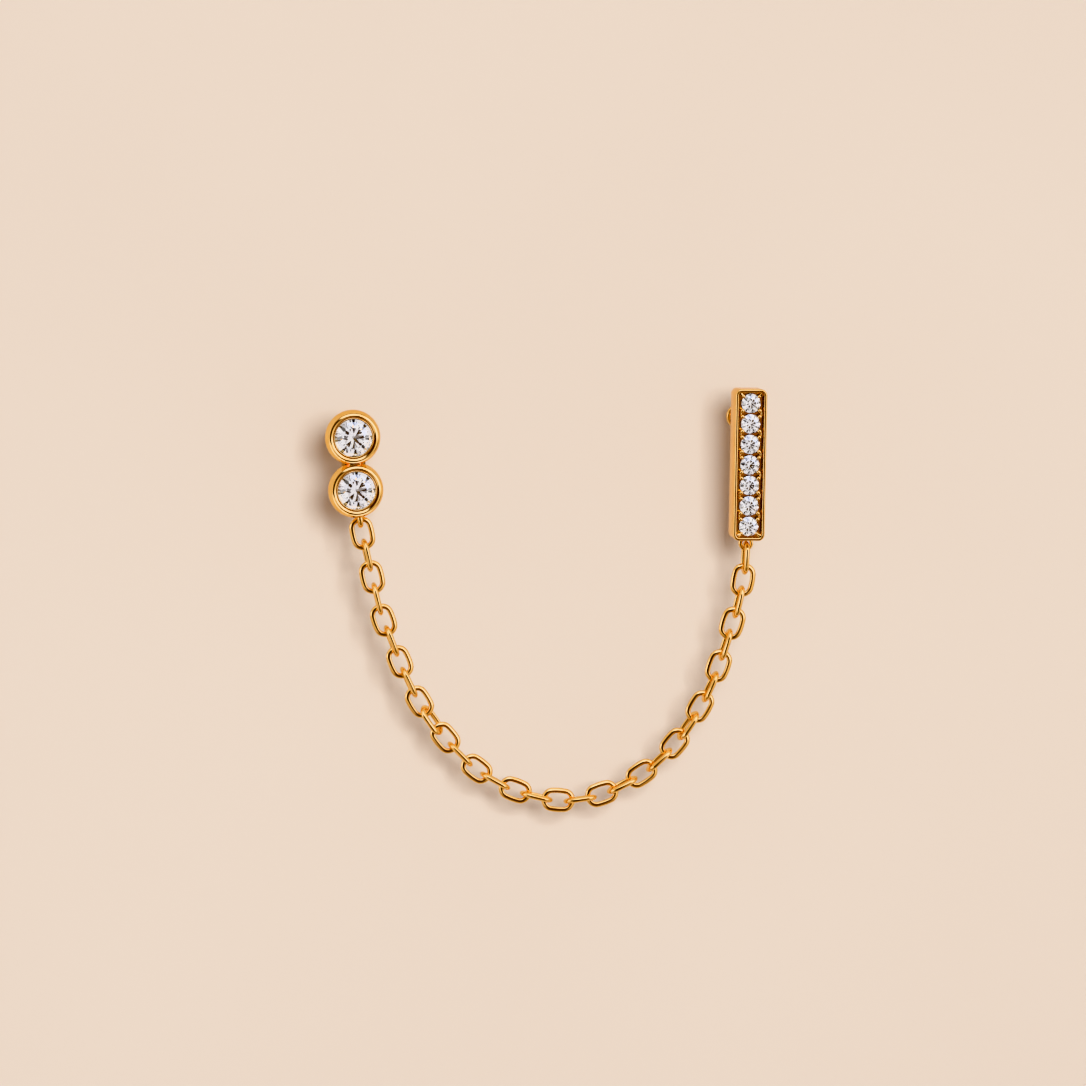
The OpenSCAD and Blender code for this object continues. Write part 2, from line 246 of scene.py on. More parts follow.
def start_clean():
    """Leave edit mode and deselect everything."""
    if bpy.context.object and bpy.context.object.mode != "OBJECT":
        bpy.ops.object.mode_set(mode="OBJECT")
    bpy.ops.object.select_all(action="DESELECT")


def make_active(piece):
    start_clean()
    piece.select_set(True)
    bpy.context.view_layer.objects.active = piece


def apply_place():
    """Put the active piece's place, turn and size into its mesh."""
    bpy.ops.object.transform_apply(location=True, rotation=True, scale=True)


def move_to(piece, matrix):
    make_active(piece)
    piece.matrix_world = matrix
    apply_place()


def place(piece, matrix):
    """Move a piece modelled in millimetres to its place in the frame, its object at the origin."""
    move_to(piece, matrix @ Matrix.Scale(MM, 4))


def open_mesh(piece):
    """Enter edit mode with nothing selected."""
    make_active(piece)
    bpy.ops.object.mode_set(mode="EDIT")
    bpy.ops.mesh.select_all(action="DESELECT")


def close_mesh():
    """Merge doubles, point the faces outwards and leave edit mode."""
    bpy.ops.mesh.select_all(action="SELECT")
    bpy.ops.mesh.remove_doubles(threshold=MERGE)
    bpy.ops.mesh.normals_make_consistent(inside=False)
    bpy.ops.object.mode_set(mode="OBJECT")


def pick(kind, test):
    """Select the faces, edges or vertices that pass a test, and nothing else."""
    mesh = bpy.context.edit_object.data
    shape = bmesh.from_edit_mesh(mesh)
    shape.normal_update()
    bpy.context.tool_settings.mesh_select_mode = (kind == "verts", kind == "edges", kind == "faces")
    for element in list(shape.faces) + list(shape.edges) + list(shape.verts):
        element.select_set(False)
    for element in getattr(shape, kind):
        if test(element):
            element.select_set(True)
    shape.select_flush_mode()
    bmesh.update_edit_mesh(mesh)


def hard(edge):
    return edge.calc_face_angle(0) > HARD_EDGE


def apply_modifier(piece, kind, **settings):
    make_active(piece)
    modifier = piece.modifiers.new(kind.title(), kind)
    for key, value in settings.items():
        setattr(modifier, key, value)
    bpy.ops.object.modifier_apply(modifier=modifier.name)


def join(name, pieces):
    make_active(pieces[0])
    for piece in pieces:
        piece.select_set(True)
    bpy.ops.object.join()
    joined = bpy.context.object
    joined.name = name
    joined.data.name = name
    return joined


def copy_of(piece, name):
    twin = piece.copy()
    twin.data = piece.data.copy()
    twin.name = name
    bpy.context.collection.objects.link(twin)
    return twin


def shade(piece, angle):
    make_active(piece)
    bpy.ops.object.shade_smooth_by_angle(angle=math.radians(angle))


def mark_faces(piece, mark, inside):
    """Mark the faces that a buff can't reach, where the gold is duller, or the faces of the solder web,
    where the gold is painted dark as shade between the cups.
    """
    marks = piece.data.attributes.new(mark, "FLOAT", "FACE")
    for face in piece.data.polygons:
        marks.data[face.index].value = 1.0 if inside(face.center) else 0.0


def block(width, length, low_z, high_z, x=0.0, y=0.0):
    """A block of wall between two heights, still to be shaped."""
    start_clean()
    bpy.ops.mesh.primitive_cube_add(
        size=1, location=(x, y, (low_z + high_z) / 2), scale=(width, length, high_z - low_z)
    )
    apply_place()
    return bpy.context.object


def arc(centre, radius, start, end, steps):
    """Points of an arc in a section, from one angle to another in degrees."""
    angles = [math.radians(start + (end - start) * i / steps) for i in range(steps + 1)]
    return [(centre[0] + radius * math.cos(a), centre[1] + radius * math.sin(a)) for a in angles]


def turned(name, section, segments, closed=False):
    """Turn a section of (radius, height) points about the z axis, ring by ring, from a first circle."""
    start_clean()
    first_r, first_z = section[0]
    fill = "NOTHING" if closed else "NGON"
    bpy.ops.mesh.primitive_circle_add(
        vertices=segments, radius=first_r, fill_type=fill, location=(0, 0, first_z)
    )
    piece = bpy.context.object
    apply_place()
    bpy.ops.object.mode_set(mode="EDIT")
    bpy.ops.mesh.select_all(action="SELECT")
    r, z = first_r, first_z
    for next_r, next_z in section[1:]:
        if closed:
            bpy.ops.mesh.extrude_edges_move(TRANSFORM_OT_translate={"value": (0, 0, next_z - z)})
        else:
            bpy.ops.mesh.extrude_region_move(TRANSFORM_OT_translate={"value": (0, 0, next_z - z)})
        share = next_r / r
        bpy.ops.transform.resize(value=(share, share, 1), center_override=(0, 0, next_z))
        r, z = next_r, next_z
    close_mesh()
    piece.name = name
    return piece


def wire_end(name, wire_r, x):
    """The round end of a wire, standing across the x axis and open in edit mode."""
    start_clean()
    bpy.ops.mesh.primitive_circle_add(
        vertices=WIRE_SIDES, radius=wire_r, fill_type="NOTHING", location=(x, 0, 0),
        rotation=(math.pi / 2, 0, 0)
    )
    wire = bpy.context.object
    wire.name = name
    apply_place()
    bpy.ops.object.mode_set(mode="EDIT")
    bpy.ops.mesh.select_all(action="SELECT")
    return wire


def centre_of(node):
    low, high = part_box(node)
    return (Vector(low) + Vector(high)) / 2


def stud_matrix(top, bottom):
    """Frame of a stud from its top and bottom stones: x right, y up its length, z out of its front.

    The backs of both studs lie in the plane where y is 0.
    """
    up = top - bottom
    up.y = 0
    up.normalize()
    front = Vector((0, -1, 0))
    right = up.cross(front)
    origin = (top + bottom) / 2
    origin.y = 0
    return Matrix((
        (right.x, up.x, front.x, origin.x),
        (right.y, up.y, front.y, origin.y),
        (right.z, up.z, front.z, origin.z),
        (0, 0, 0, 1),
    ))


def cup_section():
    """Section of a bezel cup from its back: bowl, shoulder, raised crest, groove, inner lip and seat."""
    widest_z = SETTING_DEPTH - CUP_WIDEST_DROP
    drop = CUP_R - CUP_BACK_R
    bowl_r = (drop ** 2 + widest_z ** 2) / (2 * drop)
    low = -math.degrees(math.asin(widest_z / bowl_r))
    high = -math.degrees(math.asin((widest_z - SHOULDER_Z) / bowl_r))
    bowl = arc((CUP_R - bowl_r, widest_z), bowl_r, low, high, 12)
    bowl_top_r = bowl[-1][0]

    crest_out_r = CREST_R + CREST_HALF_W
    slope = math.radians(CREST_SLOPE)
    crest_mid_rise = (CREST_HALF_W * math.sin(slope) - CREST_TOP_R) / math.cos(slope)
    crest_foot_z = SETTING_DEPTH - CREST_TOP_R - crest_mid_rise
    shoulder_top = (crest_out_r + CREST_GROOVE_W, crest_foot_z + CREST_GROOVE_RISE * CREST_GROOVE_W)
    rise, run = shoulder_top[1] - SHOULDER_Z, bowl_top_r - shoulder_top[0]
    lean = math.degrees(math.atan2(run, rise))
    shoulder_r = math.hypot(rise, run) / (2 * math.sin(math.radians(SHOULDER_BOW)))
    first = math.radians(lean - SHOULDER_BOW)
    shoulder_at = (bowl_top_r - shoulder_r * math.cos(first), SHOULDER_Z - shoulder_r * math.sin(first))
    shoulder = arc(shoulder_at, shoulder_r, lean - SHOULDER_BOW, lean + SHOULDER_BOW, 10)[1:]

    crest_mid = (CREST_R, crest_foot_z + crest_mid_rise)
    crest = [(crest_out_r, crest_foot_z)]
    crest += arc(crest_mid, CREST_TOP_R, 90 - CREST_SLOPE, 90 + CREST_SLOPE, 5)
    groove_out = CREST_R - CREST_HALF_W
    lip_r = CUP_OPENING_R + INNER_LIP_R
    groove_z = crest_foot_z - LIP_GROOVE_DEPTH
    groove = [
        (groove_out, crest_foot_z),
        (groove_out - LIP_GROOVE_TAPER[0], groove_z),
        (lip_r + INNER_LIP_R + LIP_GROOVE_TAPER[1], groove_z),
    ]
    lip = arc((lip_r, crest_foot_z - INNER_LIP_R), INNER_LIP_R, 0, 180, 8)

    seat_r = CUP_STONE_R + CUP_SEAT_CLEARANCE
    seat = [
        (CUP_OPENING_R, CUP_SEAT_TOP_Z),
        (seat_r, CUP_SEAT_TOP_Z - CUP_SEAT_SLOPE_H),
        (seat_r, CUP_SEAT_TOP_Z - CUP_SEAT_H),
        CUP_FLOOR,
    ]
    return [(CUP_BACK_CENTRE_R, 0)] + bowl + shoulder + crest + groove + lip + seat


def bezel_cup(name, height):
    cup = turned(name, cup_section(), segments=128)
    move_to(cup, Matrix.Translation((0, height, 0)))
    return cup


def solder_web():
    """The waist between the cups: a block with pinched sides and soft edges, and a ridge on its front."""
    web = block(WAIST_W, 2 * WEB_HALF_L, WEB_BACK_Z, WEB_TOP_Z)
    open_mesh(web)
    pick("edges", lambda e: abs(e.verts[0].co.y - e.verts[1].co.y) > WEB_HALF_L)
    bpy.ops.mesh.subdivide(number_cuts=WEB_ROWS - 1)
    for row in range(WEB_ROWS + 1):
        y = WEB_HALF_L * (row / (WEB_ROWS / 2) - 1)
        flare = 1 + WEB_FLARE * (y / WEB_HALF_L) ** 2
        pick("verts", lambda v: abs(v.co.y - y) < NEAR)
        bpy.ops.transform.resize(value=(flare, 1, 1), center_override=(0, y, 0))

    def front_side_edge(e):
        at_front = all(v.co.z > WEB_TOP_Z - NEAR for v in e.verts)
        return at_front and all(abs(v.co.x) > 0.5 for v in e.verts) and hard(e)

    pick("edges", front_side_edge)
    bpy.ops.mesh.bevel(offset=WEB_ROUND, segments=6, affect="EDGES")
    close_mesh()
    # Marks the web's block for painted shade between the cups.
    mark_faces(web, "solder", lambda c: True)

    start_clean()
    bpy.ops.mesh.primitive_cylinder_add(
        vertices=32, radius=RIDGE_R, depth=WAIST_W * RIDGE_SHARE, location=(0, 0, RIDGE_Z),
        rotation=(0, math.pi / 2, 0)
    )
    ridge = bpy.context.object
    apply_place()
    open_mesh(ridge)
    pick("faces", lambda f: abs(f.normal.x) > 0.9)
    bpy.ops.mesh.bevel(offset=RIDGE_ROUND, segments=5, affect="EDGES")
    close_mesh()
    return join("solder_web", [web, ridge])


def ring_loop(name, ring_r, wire_r):
    """A loop of round wire, turned from one circle."""
    ring = wire_end(name, wire_r, ring_r)
    bpy.ops.mesh.spin(steps=LOOP_STEPS, angle=2 * math.pi, center=(0, 0, 0), axis=(0, 0, 1))
    close_mesh()
    return ring


def ear_post(name, at):
    """Post from its solder root inside the setting to a rounded tip behind the ear."""
    tip = arc((POST_R - POST_TIP_R, POST_L - POST_TIP_R), POST_TIP_R, 0, 90, 6)
    post = turned(name, POST_COLLAR + tip + [(POST_END_R, POST_L)], segments=48)
    move_to(post, Matrix.Translation(at) @ Matrix.Rotation(math.pi, 4, "X"))
    return post


def double_bezel(frame_matrix, spacing, post_at, gold):
    """Two cups on a solder web, with the chain's loop turned a little to the right below the lower one."""
    cups = [bezel_cup("upper_cup", spacing / 2), bezel_cup("lower_cup", -spacing / 2)]
    web = solder_web()
    ring = ring_loop("bezel_loop", LOOP_R, WIRE_R)
    cup_side = LOOP_REACH - LOOP_R
    turn = math.radians(LOOP_TURN)
    at = Vector((math.sin(turn) * cup_side, -spacing / 2 - math.cos(turn) * cup_side, CHAIN_PLANE))
    across = Matrix.Rotation(turn, 4, "Z") @ Matrix.Rotation(math.pi / 2, 4, "Y")
    move_to(ring, Matrix.Translation(at) @ across)
    post = ear_post("lobe_post", post_at)
    setting = join("double_bezel_body", cups + [web, ring, post])
    shade(setting, 40)
    setting.data.materials.append(gold)
    place(setting, frame_matrix)
    return setting


def bar_box(width, height):
    """Rounded box with a raised rim and a sunken channel, open to the front."""
    box = block(width, height, 0, SETTING_DEPTH)
    open_mesh(box)
    pick("edges", lambda e: abs(e.verts[0].co.z - e.verts[1].co.z) > SETTING_DEPTH * 0.9)
    bpy.ops.mesh.bevel(offset=BAR_CORNER_R, segments=9, affect="EDGES")
    pick("faces", lambda f: f.normal.z > 0.99)
    bpy.ops.mesh.inset(thickness=BAR_RIM, use_even_offset=True)
    bpy.ops.mesh.extrude_region_move(TRANSFORM_OT_translate={"value": (0, 0, -CHANNEL_DEPTH)})

    def rim_edge(e):
        at_front = all(v.co.z > SETTING_DEPTH - NEAR for v in e.verts)
        return at_front and len(e.link_faces) == 2 and hard(e)

    pick("edges", rim_edge)
    bpy.ops.mesh.bevel(offset=BAR_RIM_ROUND, segments=6, affect="EDGES", profile=0.5)
    pick("edges", lambda e: all(v.co.z < NEAR for v in e.verts) and hard(e))
    bpy.ops.mesh.bevel(offset=BAR_BACK_R, segments=7, affect="EDGES")
    close_mesh()
    return box


def seat_cutter(stone_heights):
    """One open cone for each stone, as drilled before setting."""
    section = SEAT_TIP + [
        (SEAT_MOUTH_R, CHANNEL_FLOOR_Z - SEAT_MOUTH_DROP),
        (SEAT_CUT_R, CHANNEL_FLOOR_Z + SEAT_CUT_RISE),
    ]
    cutters = []
    for y in stone_heights:
        cone = turned("seat_cone", section, segments=48)
        cone.location = (0, y, 0)
        cutters.append(cone)
    return join("seat_cutter", cutters)


def leaning_tip(name, foot, head, foot_r, head_r):
    """A claw: a tapered stem that leans from its foot in the channel to a rounded head over a stone."""
    lean = Vector(head) - Vector(foot)
    stem_l = lean.length
    section = [(0.02, 0), (foot_r, 0), ((foot_r + head_r) / 2 * 0.9, stem_l - head_r * 0.9)]
    section += arc((0, stem_l), head_r, -30, 80, 8)
    section += [(0.004, stem_l + head_r)]
    tip = turned(name, section, segments=20)
    move_to(tip, Matrix.Translation(foot) @ lean.to_track_quat("Z", "Y").to_matrix().to_4x4())
    return tip


def claw_bridge(name, at, side):
    """Low rounded wall that joins the two heads of a split claw at their outer side."""
    wall = block(BRIDGE_W, BRIDGE_L, CLAW_FOOT_Z, BRIDGE_TOP_Z, at[0] + side * BRIDGE_OUT, at[1])
    open_mesh(wall)
    pick("edges", lambda e: any(v.co.z > BRIDGE_TOP_Z - NEAR for v in e.verts))
    bpy.ops.mesh.bevel(offset=BRIDGE_ROUND, segments=5, affect="EDGES")
    close_mesh()
    wall.name = name
    return wall


def split_claws(heights):
    """Between two stones each side has a claw split in two, and each end corner has one long claw."""
    pieces = []
    for i in range(len(heights) - 1):
        y = (heights[i] + heights[i + 1]) / 2
        for side in (-1, 1):
            for way in (-1, 1):
                foot = (side * SPLIT_FOOT[0], y + way * SPLIT_FOOT[1], CLAW_FOOT_Z)
                head = (side * SPLIT_HEAD[0], y + way * SPLIT_HEAD[1], CLAW_HEAD_Z)
                pieces.append(leaning_tip("claw", foot, head, SPLIT_FOOT_R, SPLIT_HEAD_R))
            pieces.append(claw_bridge("claw_bridge", (side * SPLIT_FOOT[0], y), side))
    for y, way in ((heights[0], 1), (heights[-1], -1)):
        for side in (-1, 1):
            foot = (side * CORNER_FOOT[0], y + way * CORNER_FOOT[1], CLAW_FOOT_Z)
            head = (side * CORNER_HEAD[0], y + way * CORNER_HEAD[1], CLAW_HEAD_Z)
            root = (side * CORNER_ROOT[0], y + way * CORNER_ROOT[1], CLAW_HEAD_Z - CORNER_ROOT_DROP)
            pieces.append(leaning_tip("corner_claw", foot, head, CORNER_FOOT_R, CORNER_HEAD_R))
            pieces.append(leaning_tip("corner_claw", root, head, CORNER_ROOT_R, CORNER_TIP_R))
    return pieces


def bar_body(frame_matrix, stone_heights, post_at, gold):
    """The bar's box with its drilled seats, claws, chain loop and post."""
    height = stone_heights[0] - stone_heights[-1] + 2 * (BAR_STONE_R + BAR_END_FLOOR + BAR_RIM)
    width = 2 * (BAR_STONE_R + BAR_SIDE_FLOOR + BAR_RIM)
    box = bar_box(width, height)
    cutter = seat_cutter(stone_heights)
    apply_modifier(box, "BOOLEAN", object=cutter, operation="DIFFERENCE", solver="EXACT")
    bpy.data.objects.remove(cutter)

    half_w, half_h = width / 2 - 0.8 * BAR_RIM, height / 2 - 0.8 * BAR_RIM
    rim_foot_z = SETTING_DEPTH - 1.2 * BAR_RIM_ROUND
    mark_faces(box, "recess", lambda c: c.z < rim_foot_z and abs(c.x) < half_w and abs(c.y) < half_h)

    claws = split_claws(stone_heights)
    ring = ring_loop("bar_loop", BAR_LOOP_R, BAR_LOOP_WIRE_R)
    ring.location = (0, -height / 2 - BAR_LOOP_DROP + BAR_LOOP_R, CHAIN_PLANE)
    post = ear_post("bar_post", post_at)
    body = join("bar_body", [box] + claws + [ring, post])
    shade(body, 35)
    body.data.materials.append(gold)
    place(body, frame_matrix)
    return body


def master_link():
    """A cable link: wire led round eight arcs, four tight corners, two nearly straight sides and two ends.

    The wire's section leans to the inside of the link, so that its outer half slopes gently.
    """
    half_l = LINK_L / 2 - WIRE_R
    half_w = LINK_W / 2 - WIRE_R
    corner_x, corner_y = LINK_CORNER_AT

    def flat_arc_r(across, along):
        """Radius of a side's or an end's arc that meets a corner's arc smoothly."""
        return (LINK_CORNER_R ** 2 - across ** 2 - along ** 2) / (2 * (along + LINK_CORNER_R))

    side_r = flat_arc_r(corner_x, corner_y - half_w)
    end_r = flat_arc_r(corner_y, corner_x - half_l)
    side_turn = math.atan2(corner_x, corner_y - half_w + side_r)
    end_turn = math.atan2(corner_y, corner_x - half_l + end_r)
    corner_turn = math.pi / 2 - side_turn - end_turn

    link = wire_end("master_link", WIRE_R, half_l)
    section = bmesh.from_edit_mesh(link.data)
    for vert in section.verts:
        vert.co.x -= LINK_LEAN * vert.co.z ** 2 / WIRE_R
    bmesh.update_edit_mesh(link.data)
    bpy.ops.mesh.select_all(action="SELECT")

    end_x, side_y = half_l - end_r, side_r - half_w
    corner = (corner_turn, LINK_CORNER_STEPS)
    side = (2 * side_turn, LINK_SIDE_STEPS)
    end = (2 * end_turn, LINK_SIDE_STEPS)
    half_end = (end_turn, LINK_SIDE_STEPS // 2)
    route = [
        (end_x, 0, half_end),
        (corner_x, -corner_y, corner),
        (0, side_y, side),
        (-corner_x, -corner_y, corner),
        (-end_x, 0, end),
        (-corner_x, corner_y, corner),
        (0, -side_y, side),
        (corner_x, corner_y, corner),
        (end_x, 0, half_end),
    ]
    for x, y, (turn, steps) in route:
        bpy.ops.mesh.spin(steps=steps, angle=turn, center=(x, y, 0), axis=(0, 0, 1))
    close_mesh()
    shade(link, 60)
    return link


def node_axes(node):
    """Centre and turned axes of a link from its solid: longest axis first, thinnest last."""
    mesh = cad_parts[node].data
    points = np.empty(len(mesh.vertices) * 3)
    mesh.vertices.foreach_get("co", points)
    points = np.unique(np.round(points.reshape(-1, 3), 7), axis=0)
    low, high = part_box(node)
    centre = (np.array(low) + np.array(high)) / 2
    vectors = np.linalg.eigh(np.cov((points - centre).T))[1]
    long_axis, wide_axis = vectors[:, 2], vectors[:, 1]
    if long_axis[0] < 0:
        long_axis = -long_axis
    thin_axis = np.cross(long_axis, wide_axis)
    matrix = Matrix.Identity(4)
    for row in range(3):
        for column, axis in enumerate((long_axis, wide_axis, thin_axis)):
            matrix[row][column] = axis[row]
        matrix[row][3] = centre[row]
    return matrix


def round_back(name, node, gold):
    """Push-on back: a dished disc with a rolled rim and a hub, seen only at its edge from the front."""
    dish_r = BACK_R - BACK_DISH_RIM
    edge_at = BACK_R - BACK_EDGE_R
    hub_end = -BACK_T - BACK_HUB_L
    hub_at = (BACK_HUB_R - BACK_HUB_ROUND, hub_end + BACK_HUB_ROUND)
    section = [(BACK_BORE_R, -BACK_DISH_DEPTH), (dish_r, -BACK_DISH_DEPTH)]
    section += arc((dish_r, BACK_DISH_ROUND - BACK_DISH_DEPTH), BACK_DISH_ROUND, -90, 0, 4)[1:]
    section += arc((edge_at, -BACK_EDGE_R), BACK_EDGE_R, 120, 0, 8)
    section += arc((edge_at, BACK_EDGE_R - BACK_T), BACK_EDGE_R, 0, -90, 6)
    section += [(r, -BACK_T - z) for r, z in BACK_HUB_FILLET]
    section += arc(hub_at, BACK_HUB_ROUND, 0, -90, 4)
    section += [(BACK_BORE_R, hub_end), (BACK_BORE_R, -BACK_DISH_DEPTH)]
    disc = turned(name, section, segments=72, closed=True)
    shade(disc, 40)
    disc.data.materials.append(gold)
    low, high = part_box(node)
    front = Vector(((low[0] + high[0]) / 2, low[1], (low[2] + high[2]) / 2))
    place(disc, Matrix.Translation(front) @ Matrix.Rotation(math.pi / 2, 4, "X"))
    return disc


def socket_group(name, inputs, outputs):
    group = bpy.data.node_groups.new(name, "ShaderNodeTree")
    for label, default in inputs:
        socket = group.interface.new_socket(label, in_out="INPUT", socket_type="NodeSocketFloat")
        socket.default_value = default
    for label in outputs:
        group.interface.new_socket(label, in_out="OUTPUT", socket_type="NodeSocketFloat")
    return group


def noise(nodes, links, vector, detail):
    texture = nodes.new("ShaderNodeTexNoise")
    texture.inputs["Detail"].default_value = detail
    links.new(vector, texture.inputs["Vector"])
    return texture


def hand_polish_group():
    """Slow waves left by the buff, and fine hairlines that catch the light."""
    inputs = [("Wave Scale", WAVE_SCALE), ("Hairline Scale", HAIRLINE_SCALE)]
    group = socket_group("hand_polish", inputs, ["Waves", "Hairlines"])
    nodes, links = group.nodes, group.links
    given = nodes.new("NodeGroupInput")
    out = nodes.new("NodeGroupOutput")
    coords = nodes.new("ShaderNodeTexCoord")
    waves = noise(nodes, links, coords.outputs["Object"], 1.0)
    links.new(given.outputs["Wave Scale"], waves.inputs["Scale"])
    stretch = nodes.new("ShaderNodeMapping")
    stretch.inputs["Scale"].default_value = (1.0, 1.0, 0.12)
    stretch.inputs["Rotation"].default_value = (0.4, 0.2, 0.7)
    links.new(coords.outputs["Object"], stretch.inputs["Vector"])
    hairlines = noise(nodes, links, stretch.outputs["Vector"], 4.0)
    hairlines.inputs["Roughness"].default_value = 0.7
    links.new(given.outputs["Hairline Scale"], hairlines.inputs["Scale"])
    links.new(waves.outputs["Fac"], out.inputs["Waves"])
    links.new(hairlines.outputs["Fac"], out.inputs["Hairlines"])
    return group


def new_material(name):
    material = bpy.data.materials.new(name)
    material.use_nodes = True
    nodes, links = material.node_tree.nodes, material.node_tree.links
    return material, nodes, links, nodes["Principled BSDF"]


def map_range(nodes, links, source, low, high):
    """Spread the middle of a noise over a range of values."""
    fit = nodes.new("ShaderNodeMapRange")
    fit.inputs["From Min"].default_value = 0.3
    fit.inputs["From Max"].default_value = 0.7
    fit.inputs["To Min"].default_value = low
    fit.inputs["To Max"].default_value = high
    links.new(source, fit.inputs["Value"])
    return fit.outputs["Result"]


def two_tones(nodes, links, source, first, last):
    """Run from one (position, colour) to another along a noise."""
    ramp = nodes.new("ShaderNodeValToRGB")
    for element, (position, colour) in zip(ramp.color_ramp.elements, (first, last)):
        element.position = position
        element.color = (*colour, 1)
    links.new(source, ramp.inputs["Fac"])
    return ramp.outputs["Color"]


def raise_relief(nodes, links, source, surface, strength, height):
    bump = nodes.new("ShaderNodeBump")
    bump.inputs["Strength"].default_value = strength
    bump.inputs["Distance"].default_value = height
    links.new(source, bump.inputs["Height"])
    links.new(bump.outputs["Normal"], surface.inputs["Normal"])


def face_mark(nodes, mark):
    reader = nodes.new("ShaderNodeAttribute")
    reader.attribute_name = mark
    return reader.outputs["Fac"]


def gold_material(name, polish):
    """Polished yellow gold whose colour and gloss drift; painted shade makes it dark brown on the solder
    web between the cups, and it is duller in a recess.
    """
    material, nodes, links, surface = new_material(name)
    surface.inputs["Metallic"].default_value = 1.0
    surface.inputs["Specular Tint"].default_value = (*GOLD_EDGE, 1)
    marks = nodes.new("ShaderNodeGroup")
    marks.node_tree = polish
    buffed = two_tones(nodes, links, marks.outputs["Waves"], (0.35, GOLD_DEEP), (0.65, GOLD_LIGHT))
    colour = nodes.new("ShaderNodeMix")
    colour.data_type = "RGBA"
    # Painted shade: faces marked as the solder web take the dark brown instead of the buffed gold.
    colour.inputs[7].default_value = (*WAIST_SHADE_COLOUR, 1)
    links.new(face_mark(nodes, "solder"), colour.inputs["Factor"])
    links.new(buffed, colour.inputs[6])
    links.new(colour.outputs[2], surface.inputs["Base Color"])
    dull = nodes.new("ShaderNodeMath")
    dull.operation = "MULTIPLY_ADD"
    dull.inputs[1].default_value = RECESS_ROUGH
    links.new(face_mark(nodes, "recess"), dull.inputs[0])
    links.new(map_range(nodes, links, marks.outputs["Hairlines"], *GOLD_ROUGH), dull.inputs[2])
    links.new(dull.outputs["Value"], surface.inputs["Roughness"])
    raise_relief(nodes, links, marks.outputs["Waves"], surface, 1.0, GOLD_WAVE_HEIGHT)
    return material


def stone_material(name, polish):
    """Clear colourless cut stone, with the faintest lilac drift."""
    material, nodes, links, surface = new_material(name)
    surface.inputs["Transmission Weight"].default_value = 1.0
    surface.inputs["IOR"].default_value = STONE_IOR
    marks = nodes.new("ShaderNodeGroup")
    marks.node_tree = polish
    colour = two_tones(nodes, links, marks.outputs["Waves"], (0.35, STONE_LILAC), (0.6, STONE_CLEAR))
    links.new(colour, surface.inputs["Base Color"])
    gloss = map_range(nodes, links, marks.outputs["Hairlines"], *STONE_ROUGH)
    links.new(gloss, surface.inputs["Roughness"])
    return material


def backdrop_material():
    """Pale matt paper with a fine grain and a faint cloudiness, clear from behind."""
    material, nodes, links, surface = new_material("backdrop_paper")
    surface.inputs["Roughness"].default_value = 0.9
    surface.inputs["Specular IOR Level"].default_value = 0.1
    coords = nodes.new("ShaderNodeTexCoord")
    cloud = noise(nodes, links, coords.outputs["Object"], 2.0)
    cloud.inputs["Scale"].default_value = PAPER_CLOUD_SCALE
    grain = noise(nodes, links, coords.outputs["Object"], 3.0)
    grain.inputs["Scale"].default_value = PAPER_GRAIN_SCALE
    colour = two_tones(nodes, links, cloud.outputs["Fac"], (0.3, PAPER_DEEP), (0.7, PAPER_LIGHT))
    links.new(colour, surface.inputs["Base Color"])
    raise_relief(nodes, links, grain.outputs["Fac"], surface, 0.5, PAPER_GRAIN_HEIGHT)
    clear = nodes.new("ShaderNodeBsdfTransparent")
    side = nodes.new("ShaderNodeNewGeometry")
    mix = nodes.new("ShaderNodeMixShader")
    links.new(side.outputs["Backfacing"], mix.inputs["Fac"])
    links.new(surface.outputs["BSDF"], mix.inputs[1])
    links.new(clear.outputs["BSDF"], mix.inputs[2])
    links.new(mix.outputs["Shader"], nodes["Material Output"].inputs["Surface"])
    return material


def stage_plane(name, location, rotation, material):
    start_clean()
    bpy.ops.mesh.primitive_plane_add(size=STAGE_SIZE, location=location, rotation=rotation)
    plane = bpy.context.object
    plane.name = name
    apply_place()
    plane.data.materials.append(material)
    return plane


def direction(turn, rise):
    """Unit vector from the object towards an azimuth and an elevation in degrees."""
    a, e = math.radians(turn), math.radians(rise)
    return Vector((math.sin(a) * math.cos(e), -math.cos(a) * math.cos(e), math.sin(e)))


def soft_box(name, towards, distance, size, power, colour, seen_in):
    """A soft box: a large area light aimed at the object, seen only in the kinds of rays named."""
    start_clean()
    away = direction(*towards) * distance
    bpy.ops.object.light_add(type="AREA", location=STUDIO_CENTRE + away)
    lamp = bpy.context.object
    lamp.name = name
    lamp.data.shape = "RECTANGLE"
    lamp.data.size, lamp.data.size_y = size
    lamp.data.energy = power
    lamp.data.color = colour
    lamp.rotation_euler = (-away).to_track_quat("-Z", "Y").to_euler()
    lamp.visible_camera = False
    lamp.visible_diffuse = "diffuse" in seen_in
    lamp.visible_glossy = "glossy" in seen_in
    lamp.visible_transmission = "transmission" in seen_in


